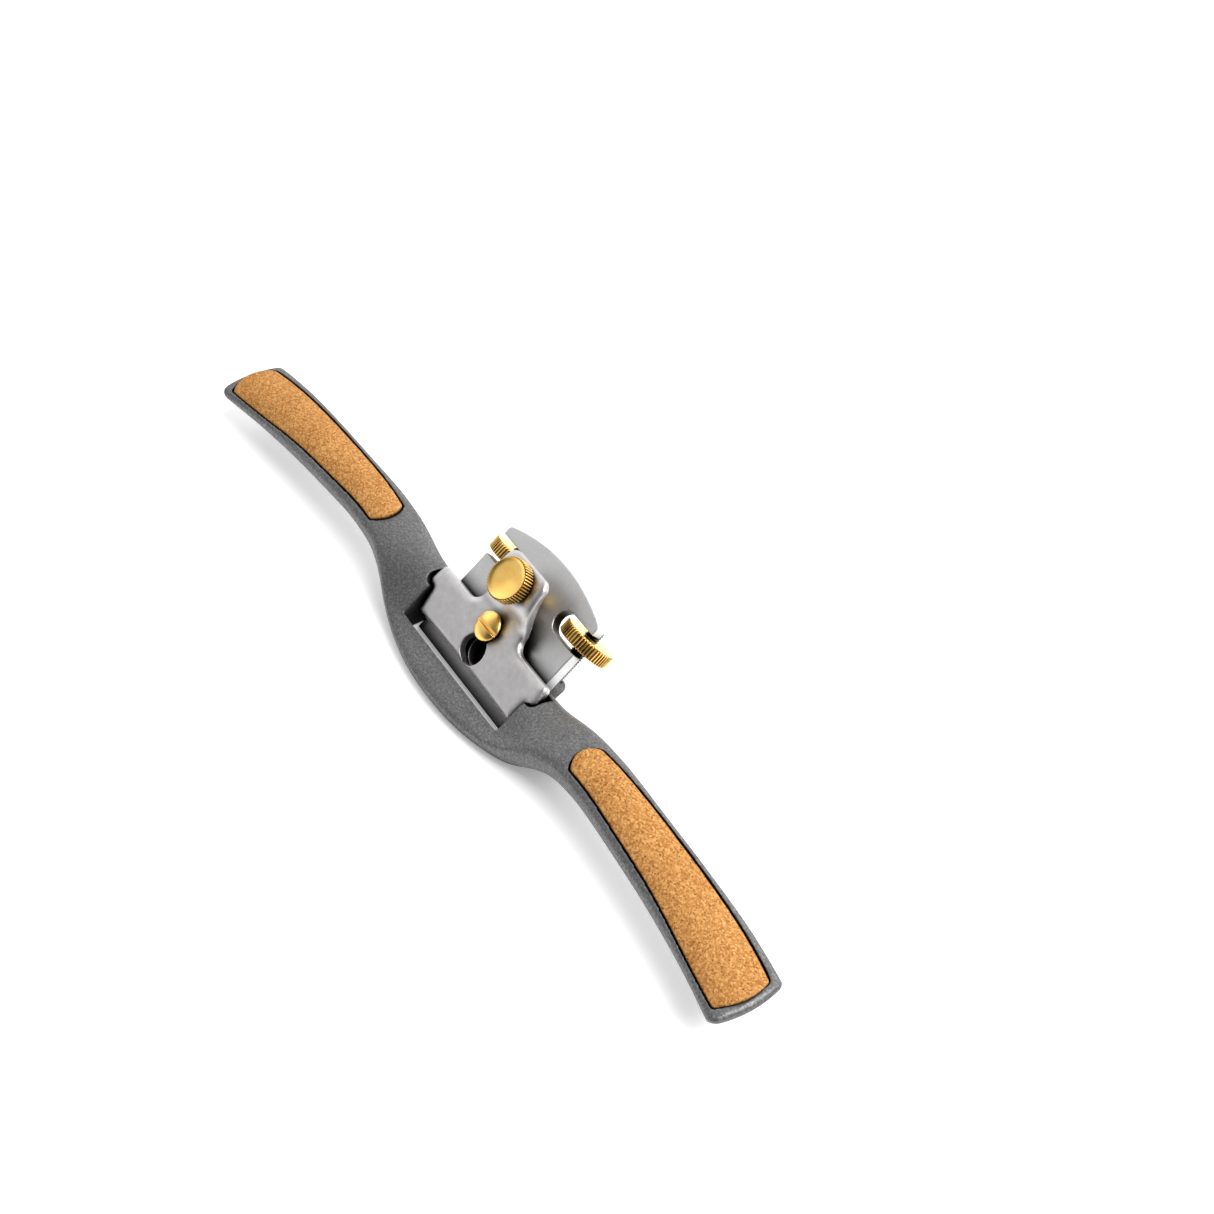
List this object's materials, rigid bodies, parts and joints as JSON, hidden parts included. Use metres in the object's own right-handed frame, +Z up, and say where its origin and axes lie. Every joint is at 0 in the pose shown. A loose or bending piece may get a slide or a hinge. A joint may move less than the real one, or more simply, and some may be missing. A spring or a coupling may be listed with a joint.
{
  "type": "spokeshave",
  "caption": "Flat-soled two-handed shaving tool with a screw-adjusted blade, a lever cap and cork-inlaid handles.",
  "frame": {"origin": "middle of the heel face of the sole, behind the mouth", "axes": "+X along the handles, +Y to the rear, away from the cutting edge, +Z up from the sole"},
  "size_m": [0.2984, 0.0516, 0.0392],
  "materials": {
    "casting": "bead-blasted, matt, fine even grain",
    "cork": "sanded agglomerated cork with small dark pits",
    "blade_steel": "fine ground tool steel",
    "cap_steel": "satin stainless steel",
    "brass": "turned and knurled, lightly polished",
    "stud_steel": "plain threaded steel rod"
  },
  "bodies": {
    "frame": {"body_casting": "casting", "cork_inlay_left": "cork", "cork_inlay_right": "cork", "adjuster_stud_left": "stud_steel", "adjuster_stud_right": "stud_steel"},
    "iron": {"blade": "blade_steel"},
    "cap": {"lever_cap": "cap_steel"},
    "cap_screw_body": {"cap_screw": "brass"},
    "clamp_knob": {"clamp_screw": "brass"},
    "wheel_left": {"adjuster_wheel_left": "brass"},
    "wheel_right": {"adjuster_wheel_right": "brass"}
  },
  "joints": [
    {"name": "blade_feed", "type": "slide", "parent": "frame", "child": "iron", "axis": [0, -0.7986, -0.6018], "range_m": [-0.0012, 0.004]},
    {"name": "wheel_left_turn", "type": "hinge", "parent": "iron", "child": "wheel_left", "pos_m": [-0.0209, 0.02552, 0.01801], "axis": [0, -0.7986, -0.6018], "range_deg": [-600, 1900]},
    {"name": "wheel_right_turn", "type": "hinge", "parent": "iron", "child": "wheel_right", "pos_m": [0.0209, 0.02552, 0.01801], "axis": [0, -0.7986, -0.6018], "range_deg": [-600, 1900]},
    {"name": "cap_slide", "type": "slide", "parent": "frame", "child": "cap", "axis": [0, 0.7986, 0.6018], "range_m": [0, 0.0084]},
    {"name": "clamp_turn", "type": "hinge", "parent": "cap", "child": "clamp_knob", "pos_m": [0, 0.01425, 0.03074], "axis": [0, -0.6018, 0.7986], "range_deg": [-1080, 90]},
    {"name": "cap_screw_turn", "type": "hinge", "parent": "frame", "child": "cap_screw_body", "pos_m": [0, 0.00792, 0.01345], "axis": [0, -0.6018, 0.7986], "range_deg": [-720, 90]}
  ],
  "couplings": [
    {"joint": "wheel_left_turn", "follows": "blade_feed", "rad_per_m": 7854},
    {"joint": "wheel_right_turn", "follows": "blade_feed", "rad_per_m": 7854}
  ]
}
